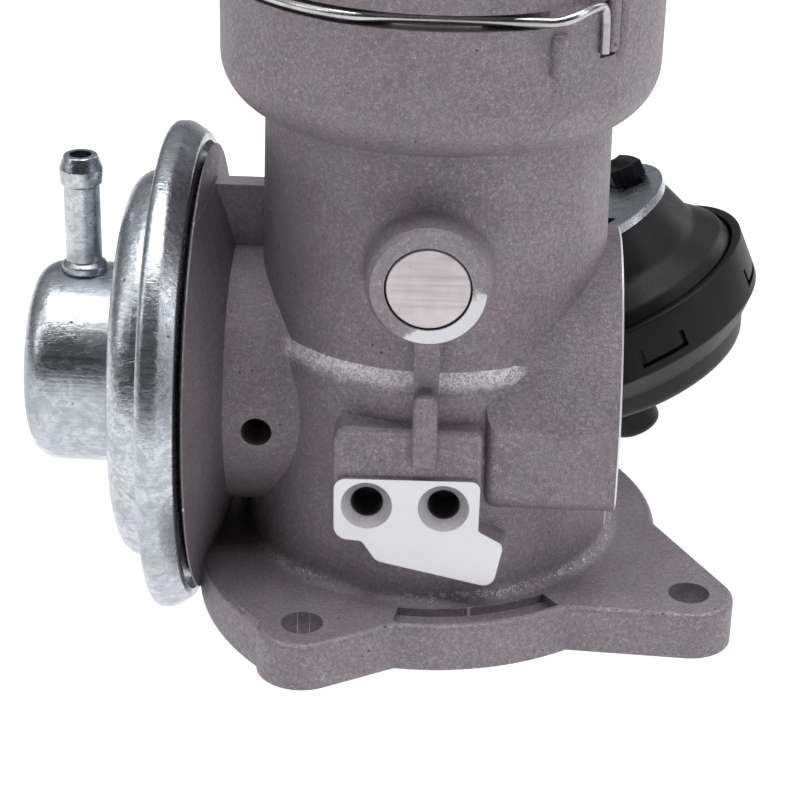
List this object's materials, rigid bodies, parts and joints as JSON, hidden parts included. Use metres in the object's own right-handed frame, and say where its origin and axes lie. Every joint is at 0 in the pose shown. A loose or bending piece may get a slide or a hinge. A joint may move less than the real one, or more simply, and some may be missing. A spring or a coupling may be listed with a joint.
{
  "type": "egr valve",
  "caption": "Cast air duct with a vacuum-driven exhaust gas recirculation valve and a vacuum-driven intake flap.",
  "frame": {"origin": "centre of the duct at the mounting face of its flange", "axes": "+Z along the duct to the hose collar, -X to the vacuum capsule, -Y to the tapped pad"},
  "size_m": [0.1317, 0.1325, 0.1253],
  "materials": {
    "cast_aluminium": "shot-blasted casting",
    "zinc_sheet": "bright zinc-plated sheet",
    "steel": "plain turned steel",
    "bearing_bronze": "sintered bearing bronze",
    "spring_wire": "bright drawn wire",
    "black_plastic": "glass-filled moulding",
    "black_rubber": "moulded rubber",
    "gasket_fibre": "coated sheet gasket",
    "brass": "machined",
    "valve_steel": "heat-resisting turned steel"
  },
  "bodies": {
    "body": {"housing": "cast_aluminium", "hose_clip": "spring_wire", "shaft_core_plug": "zinc_sheet", "shaft_bush_front": "bearing_bronze", "shaft_bush_rear": "bearing_bronze", "shaft_seal": "black_rubber", "lever_spring": "spring_wire", "valve_seat": "valve_steel", "stem_guide": "bearing_bronze", "capsule_gasket": "gasket_fibre", "capsule_back": "zinc_sheet", "capsule_cover": "zinc_sheet", "capsule_membrane": "black_rubber", "valve_spring": "spring_wire", "capsule_screws": "steel", "vacuum_nipple": "zinc_sheet", "actuator_bracket": "zinc_sheet", "bracket_screws": "steel", "actuator_cone": "black_plastic", "actuator_lid": "black_plastic", "actuator_membrane": "black_rubber", "rod_spring": "spring_wire"},
    "flap": {"throttle_shaft": "steel", "throttle_plate": "brass", "plate_screws": "steel", "shaft_lever": "zinc_sheet", "lever_pin": "steel"},
    "valve": {"valve_stem": "valve_steel", "valve_head": "valve_steel", "membrane_plate": "zinc_sheet", "membrane_washer": "zinc_sheet", "stem_nut": "steel"},
    "rod": {"pull_rod": "steel", "rod_end": "black_plastic", "rod_piston": "zinc_sheet"}
  },
  "joints": [
    {"name": "gas_valve_lift", "type": "slide", "parent": "body", "child": "valve", "axis": [-1, 0, 0], "range_m": [0, 0.006], "stiffness_N_per_m": 400, "springref_m": -0.006, "deforming": ["capsule_membrane", "valve_spring"]},
    {"name": "flap_turn", "type": "hinge", "parent": "body", "child": "flap", "pos_m": [0, 0, 0.0675], "axis": [0, 1, 0], "range_deg": [0, 78], "deforming": ["lever_spring"]},
    {"name": "rod_pull", "type": "slide", "parent": "body", "child": "rod", "axis": [0.421, 0, -0.907], "range_m": [0, 0.01785], "deforming": ["actuator_membrane", "rod_spring"]}
  ],
  "couplings": [
    {"joint": "flap_turn", "follows": "rod_pull", "rad_per_m": 76.17}
  ]
}
